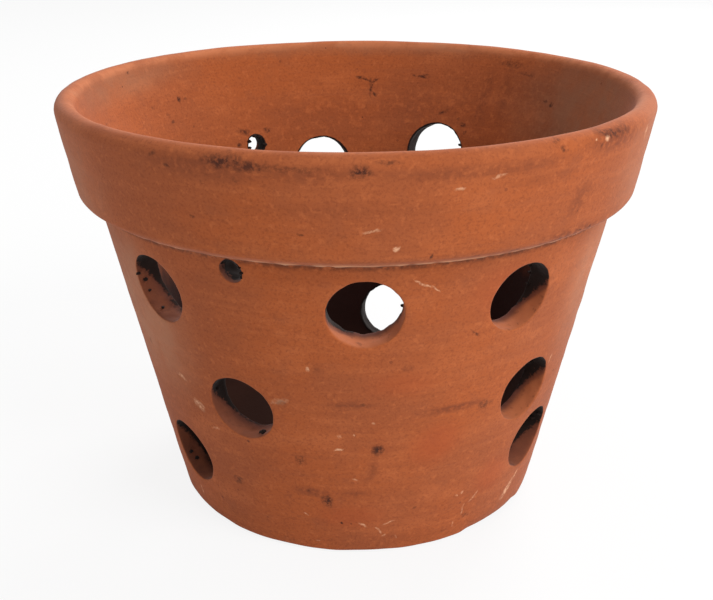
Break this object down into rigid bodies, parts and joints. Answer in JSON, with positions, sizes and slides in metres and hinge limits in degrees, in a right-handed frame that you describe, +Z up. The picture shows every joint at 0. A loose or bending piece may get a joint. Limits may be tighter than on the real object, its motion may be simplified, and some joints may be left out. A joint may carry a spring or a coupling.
{
  "type": "orchid pot",
  "caption": "Unglazed terracotta orchid pot with a plain rim band, round air holes through its tapering wall, small hanger holes and a drain hole.",
  "frame": {"origin": "centre of the foot, on the surface that the pot stands on", "axes": "+Z up along the pot's axis, -Y towards the front of the picture, +X to its right"},
  "size_m": [0.175, 0.175, 0.126],
  "materials": {
    "terracotta": "unglazed fired clay, matte"
  },
  "bodies": {
    "root": {"pot_body": "terracotta"}
  },
  "joints": []
}
